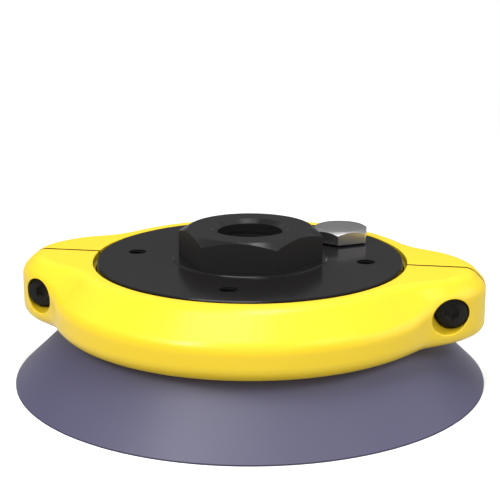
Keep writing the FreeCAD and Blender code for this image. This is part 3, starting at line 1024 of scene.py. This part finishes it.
def makePlug():
    # Rings from the middle of the head's face over its turned-off corners and down the shank.
    centre = (plugLow + plugHigh) / 2
    top = plugHigh[2]
    seat = top - plug["headHeight"]
    end = plugLow[2]
    angles, outline = hexRing(plug["count"], plug["width"], plug["corner"], plug["turn"])
    face, soft, shank = plug["face"], plug["softEdge"], plug["shank"]
    shoulder = top - (outline - face) * coneRise
    onCone = outline - soft
    surface = ringStack(angles, [
        (0.0, top),
        (face - soft, top),
        (face + soft / 2, top - soft / 2 * coneRise),
        (onCone, top - (onCone - face) * coneRise),
        (outline, shoulder - soft),
        (outline, seat + soft),
        (outline - soft, seat),
        (shank, seat),
        (shank, end + plug["endChamfer"]),
        (shank - plug["endChamfer"], end),
        (0.0, end),
    ])
    looks = [(brightNickel, [patch(moved(surface, centre), closeColumns=True)])]
    makePiece("portPlug", "port_plug", looks, meshing["sharpFacets"])


def makeSeal():
    # A rounded section turned round the plug's axis.
    centre = (sealLow + sealHigh) / 2
    outer = (sealHigh[0] - sealLow[0]) / 2
    section = ringSection(outer - plug["sealWidth"], outer, sealLow[2], sealHigh[2], plug["sealRound"])
    ring = moved(turned(section, fullTurn(plug["sealCount"])), centre)
    looks = [(blackSeal, [patch(ring, closeRows=True, closeColumns=True)])]
    makePiece("plugSeal", "plug_seal", looks)


makePlug()
makeSeal()


# Filter: woven wire in a rim, held by an open spring ring

meshLow, meshHigh = nodeBox("mesh_filter")
springLow, springHigh = nodeBox("filter_ring")
sieve = {
    "pitch": 2.1,
    "wire": 0.2,            # radius of a wire
    "wireSteps": 8,         # along each millimetre of half a wire
    "wiresEachSide": 5,
    "rimWidth": 1.0,
    "rimRound": 0.2,
    "rimCount": 144,
    "springWidth": 2.25,
    "springRound": 0.15,
    "springGap": math.radians(36.0),
    "springCount": 160,
}


def endsClosed(tube, middles):
    # The rings of a tube, with each end drawn in to its middle point.
    first, last = (np.repeat(middle[None, None], tube.shape[1], 1) for middle in middles)
    return np.concatenate([first, tube, last])


def tubeAlong(path, across, radius, sides=8):
    # A tube: at each point of the path a circle in the plane of the sideways and the upright direction.
    turn = fullTurn(sides)
    upright = np.array([0.0, 0.0, 1.0])
    circle = np.cos(turn)[:, None] * across + np.sin(turn)[:, None] * upright
    return endsClosed(path[:, None, :] + radius * circle[None], (path[0], path[-1]))


def makeSieve():
    # Wires whose height is a cosine of the way along them, so that those of both directions weave, in a rim.
    outer = meshHigh[0]
    middleLevel = (meshLow[2] + meshHigh[2]) / 2
    swing = (meshHigh[2] - meshLow[2]) / 2 - sieve["wire"]
    reach = outer - sieve["rimWidth"] / 2
    patches = []
    for index in range(-sieve["wiresEachSide"], sieve["wiresEachSide"] + 1):
        offset = index * sieve["pitch"]
        half = math.sqrt(reach ** 2 - offset ** 2)
        along = np.linspace(-half, half, int(half * sieve["wireSteps"]))
        wave = swing * np.cos(math.pi * (along / sieve["pitch"] + index))
        beside = np.full_like(along, offset)
        warp = np.stack([along, beside, middleLevel + wave], -1)
        weft = np.stack([beside, along, middleLevel - wave], -1)
        for wire, across in ((warp, np.array([0.0, 1.0, 0.0])), (weft, np.array([1.0, 0.0, 0.0]))):
            patches.append(patch(tubeAlong(wire, across, sieve["wire"]), closeColumns=True))
    section = ringSection(outer - sieve["rimWidth"], outer, meshLow[2], meshHigh[2], sieve["rimRound"])
    rim = turned(section, fullTurn(sieve["rimCount"]))
    patches.append(patch(rim, closeRows=True, closeColumns=True))
    makePiece("meshFilter", "mesh_filter", [(stainlessWire, patches)])


def makeSpring():
    # A rounded section turned round Z, less the gap.
    outer, half = springHigh[1], sieve["springGap"] / 2
    inner = outer - sieve["springWidth"]
    section = ringSection(inner, outer, springLow[2], springHigh[2], sieve["springRound"])
    ring = turned(section, np.linspace(half, 2 * math.pi - half, sieve["springCount"]))
    surface = patch(endsClosed(ring, (ring[0].mean(0), ring[-1].mean(0))), closeColumns=True)
    makePiece("filterRing", "filter_ring", [(stainlessWire, [surface])])


makeSieve()
makeSpring()


# Studio: white floor, fill from the world, lamps, softboxes, and a grey tent that only reflections see

studio = {
    "floorSize": 6.0,
    "floorTones": ((0.42, 0.42, 0.42), (0.95, 0.95, 0.95)),    # what lights the object, what is looked at
    "floorFade": (0.2, 0.45),     # distances between which the floor turns plain white
    "fill": 0.48,                 # world strength on the object
    "tentRadius": 1.2,
    "tentHeights": (0.0, 0.01, 0.25, 0.5, 0.8, 1.0),      # from the floor to overhead
    "tentGreys": (0.7, 0.338, 0.078, 0.35, 0.23, 0.18),
    "tentSteps": (18, 48),        # up the dome and round it
    "dishStart": 1.01,            # the dish's inner edge, in lip radii
    "dishLift": 0.0001,
    "dishRadius": 0.3,
    "aim": (0.0, 0.0, 0.02),      # where the lamps point
}
lamps = {           # these light the object, and reflections don't show them
    "front": {"at": (-0.02, -0.55, 0.34), "size": (0.7, 0.1), "power": 0.385},
    "overhead": {"at": (0.0, 0.05, 0.65), "size": (0.5, 0.5), "power": 1.3},
    "left": {"at": (-0.38, -0.28, 0.45), "size": (0.25, 0.2), "power": 0.9},
    "right": {"at": (0.42, -0.22, 0.45), "size": (0.25, 0.2), "power": 1.28},
}
softboxes = {       # reflections show these
    "boxMiddle": {"at": (0.05, 0.0, 0.62), "size": (0.3, 0.12), "power": 0.75},
    "boxFar": {"at": (-0.33, -0.55, 0.62), "size": (0.16, 0.34), "power": 1.75},
    "boxNear": {"at": (-0.1, -0.22, 0.62), "size": (0.36, 0.2), "power": 0.6},
    "boxRear": {"at": (-0.02, 0.17, 0.62), "size": (0.2, 0.1), "power": 0.06},
    "boxBack": {"at": (0.12, 0.3, 0.56), "size": (0.4, 0.3), "power": 0.1},
    "boxSide": {"at": (0.62, 0.05, 0.2), "size": (0.5, 0.36), "power": 0.7, "lights": False},
}


def seenDirectly(tree):
    # 1 where the camera, a reflection or glass looks at something, 0 for light that falls on the object
    light = addNode(tree, "LightPath")
    seen = light.outputs["Is Camera Ray"]
    for ray in ("Is Glossy Ray", "Is Transmission Ray"):
        either = addNode(tree, "Math", {0: seen, 1: light.outputs[ray]})
        either.operation = "MAXIMUM"
        seen = either.outputs[0]
    return seen


def bareMaterial(name):
    # A material with nothing but its output node.
    material = bpy.data.materials.new(name)
    material.use_nodes = True
    tree = material.node_tree
    tree.nodes.remove(tree.nodes["Principled BSDF"])
    return material, tree


def makeFloor():
    # paper that keeps the shadow near the object and turns plain white further out
    half = studio["floorSize"] / 2
    corners = [(-half, -half, 0), (half, -half, 0), (half, half, 0), (-half, half, 0)]
    mesh = bpy.data.meshes.new("floor")
    mesh.from_pydata(corners, [], [(0, 1, 2, 3)])
    paper, tree = bareMaterial("whitePaper")
    seen = seenDirectly(tree)
    tone = addNode(tree, "ValToRGB", {"Fac": seen})
    for stop, colour in zip(tone.color_ramp.elements, studio["floorTones"]):
        stop.color = (*colour, 1.0)
    matt = addNode(tree, "BsdfDiffuse", {"Color": tone.outputs["Color"]})
    distance = addNode(tree, "VectorMath", {0: addNode(tree, "TexCoord").outputs["Object"]})
    distance.operation = "LENGTH"
    near, far = studio["floorFade"]
    fade = addNode(tree, "MapRange", {"Value": distance.outputs["Value"], "From Min": near, "From Max": far})
    share = addNode(tree, "Math", {0: fade.outputs["Result"], 1: seen})
    share.operation = "MULTIPLY"
    white = addNode(tree, "Emission").outputs["Emission"]
    mix = addNode(tree, "MixShader", {0: share.outputs[0], 1: matt.outputs["BSDF"], 2: white})
    feed(tree, tree.nodes["Material Output"], {"Surface": mix.outputs["Shader"]})
    mesh.materials.append(paper)
    floor = placed("floor", mesh)


def makeTent():
    # A dome over a shallow dish, both round Z. Only reflections see it; its grey changes with the height.
    radius = studio["tentRadius"]
    upSteps, roundSteps = studio["tentSteps"]
    rise = np.radians(np.linspace(0, 90, upSteps + 1))
    dome = np.column_stack([radius * np.cos(rise), radius * np.sin(rise)])
    dish = [
        [lipRadius * studio["dishStart"] * mm, studio["dishLift"]],
        [studio["dishRadius"], studio["tentHeights"][1] * radius],
    ]
    points, faces = patch(turned(np.vstack([dish, dome[1:]]), fullTurn(roundSteps)), closeRows=True)
    mesh = bpy.data.meshes.new("greyTent")
    mesh.from_pydata(points, [], faces.tolist())
    grey, tree = bareMaterial("tentGrey")
    place = addNode(tree, "TexCoord").outputs["Object"]
    height = addNode(tree, "SeparateXYZ", {"Vector": place}).outputs["Z"]
    share = addNode(tree, "MapRange", {"Value": height, "From Max": radius})
    tone = addNode(tree, "ValToRGB", {"Fac": share.outputs["Result"]})
    stops = tone.color_ramp.elements
    for spot in studio["tentHeights"][1:-1]:
        stops.new(spot)
    for stop, spot, level in zip(stops, studio["tentHeights"], studio["tentGreys"]):
        stop.position = spot
        stop.color = (level, level, level, 1.0)
    glow = addNode(tree, "Emission", {"Color": tone.outputs["Color"]})
    feed(tree, tree.nodes["Material Output"], {"Surface": glow.outputs["Emission"]})
    mesh.materials.append(grey)
    tent = placed("greyTent", mesh)
    tent.visible_camera = False
    tent.visible_diffuse = False
    tent.visible_shadow = False
    tent.visible_transmission = False


def makeWorld():
    # white where it is looked at, and a plain fill for the rest
    world = bpy.data.worlds.new("studioWorld")
    bpy.context.scene.world = world
    world.use_nodes = True
    tree = world.node_tree
    seen = seenDirectly(tree)
    strength = addNode(tree, "MapRange", {"Value": seen, "To Min": studio["fill"], "To Max": 1.0})
    feed(tree, tree.nodes["Background"], {
        "Color": (1.0, 1.0, 1.0, 1.0),
        "Strength": strength.outputs["Result"],
    })


def makeLamps(settings, mirrored):
    for name, setting in settings.items():
        light = bpy.data.lights.new(name, "AREA")
        light.shape = "RECTANGLE"
        light.size, light.size_y = setting["size"]
        light.energy = setting["power"]
        lamp = placed(name, light)
        lamp.location = setting["at"]
        lamp.visible_glossy = mirrored
        lamp.visible_diffuse = setting.get("lights", True)
        lamp.rotation_euler = (Vector(studio["aim"]) - lamp.location).to_track_quat("-Z", "Y").to_euler()


view = {
    "at": (0.04903, -0.28385, 0.10603),
    "back": (0.1645, -0.9525, 0.2563),    # from what is looked at towards the camera
    "lens": 92.17,
    "sensor": 36.0,
    "clip": (0.01, 20.0),
}


def makeCamera():
    camera = bpy.data.cameras.new("camera")
    camera.lens = view["lens"]
    camera.sensor_width = view["sensor"]
    camera.clip_start, camera.clip_end = view["clip"]
    holder = placed("camera", camera)
    holder.location = view["at"]
    holder.rotation_euler = Vector(view["back"]).to_track_quat("Z", "Y").to_euler()
    bpy.context.scene.camera = holder


makeFloor()
makeTent()
makeWorld()
makeLamps(lamps, mirrored=False)
makeLamps(softboxes, mirrored=True)
makeCamera()
bpy.context.scene.view_settings.view_transform = "Standard"
print("studio and camera ready")
